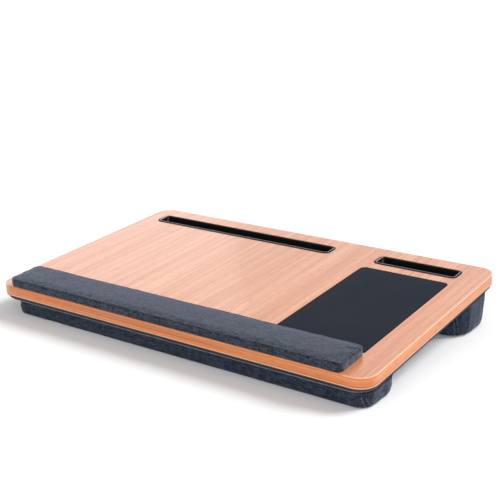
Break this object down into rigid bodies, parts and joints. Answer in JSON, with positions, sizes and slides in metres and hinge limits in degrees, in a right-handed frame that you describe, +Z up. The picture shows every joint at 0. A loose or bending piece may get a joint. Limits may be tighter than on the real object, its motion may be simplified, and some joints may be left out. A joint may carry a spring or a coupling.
{
  "type": "lap desk",
  "caption": "Lap desk: wood-laminate board with wrist rest, inlaid mouse pad and device slots, on two zipped cushions that tilt it forward.",
  "frame": {"origin": "on the resting surface, under the middle of the board", "axes": "+X to the user's right along the front edge, +Y from front to back, +Z up from the resting surface"},
  "size_m": [0.56, 0.3598, 0.0711],
  "materials": {
    "core": "raw fibreboard, sealed in",
    "wood_top": "semi-gloss wood-grain laminate, grain front to back",
    "bottom_laminate": "plain balancing laminate",
    "wood_edge": "satin wood-grain edge band, grain along the edge",
    "pad_face": "smooth dark slate pad face, matt",
    "pad_backing": "soft rubber backing",
    "slot_plastic": "black moulded plastic, satin",
    "rest_base": "stiff plastic strip",
    "foam": "soft foam",
    "rest_cloth": "heathered slate-grey cloth",
    "black_panel": "black hard panel",
    "screw_steel": "zinc-plated",
    "stiffener": "grey card",
    "base_cloth": "slate-grey cloth",
    "cushion_cloth": "dark slate heathered cloth",
    "zip_tape": "woven tape",
    "zip_teeth": "nylon",
    "zip_metal": "dark painted metal"
  },
  "bodies": {
    "desk": {"board_core": "core", "top_laminate": "wood_top", "bottom_laminate": "bottom_laminate", "edge_band": "wood_edge", "mouse_pad_face": "pad_face", "mouse_pad_backing": "pad_backing", "phone_slot_liner": "slot_plastic", "tablet_slot_liner": "slot_plastic", "wrist_rest_base": "rest_base", "wrist_rest_foam": "foam", "wrist_rest_cover": "rest_cloth", "base_panel": "black_panel", "panel_screws": "screw_steel", "underside_stiffener": "stiffener", "underside_cloth": "base_cloth", "front_cushion_cover": "cushion_cloth", "front_cushion_fill": "foam", "rear_cushion_cover": "cushion_cloth", "rear_cushion_fill": "foam", "front_zip_tapes": "zip_tape", "front_zip_teeth": "zip_teeth", "front_zip_stops": "zip_metal", "rear_zip_tapes": "zip_tape", "rear_zip_teeth": "zip_teeth", "rear_zip_stops": "zip_metal"},
    "front_slider": {"front_zip_slider": "zip_metal"},
    "front_pull": {"front_zip_pull": "zip_metal"},
    "rear_slider": {"rear_zip_slider": "zip_metal"},
    "rear_pull": {"rear_zip_pull": "zip_metal"}
  },
  "joints": [
    {"name": "front_zip_slide", "type": "slide", "parent": "desk", "child": "front_slider", "axis": [-1, 0, 0], "range_m": [0, 0.2304]},
    {"name": "front_pull_turn", "type": "hinge", "parent": "front_slider", "child": "front_pull", "pos_m": [0.1247, -0.10183, 0.0124], "axis": [0, 0, -1], "range_deg": [0, 180]},
    {"name": "rear_zip_slide", "type": "slide", "parent": "desk", "child": "rear_slider", "axis": [1, 0, 0], "range_m": [0, 0.2304]},
    {"name": "rear_pull_turn", "type": "hinge", "parent": "rear_slider", "child": "rear_pull", "pos_m": [-0.1152, 0.08194, 0.0172], "axis": [0, 0, -1], "range_deg": [0, 180]}
  ]
}
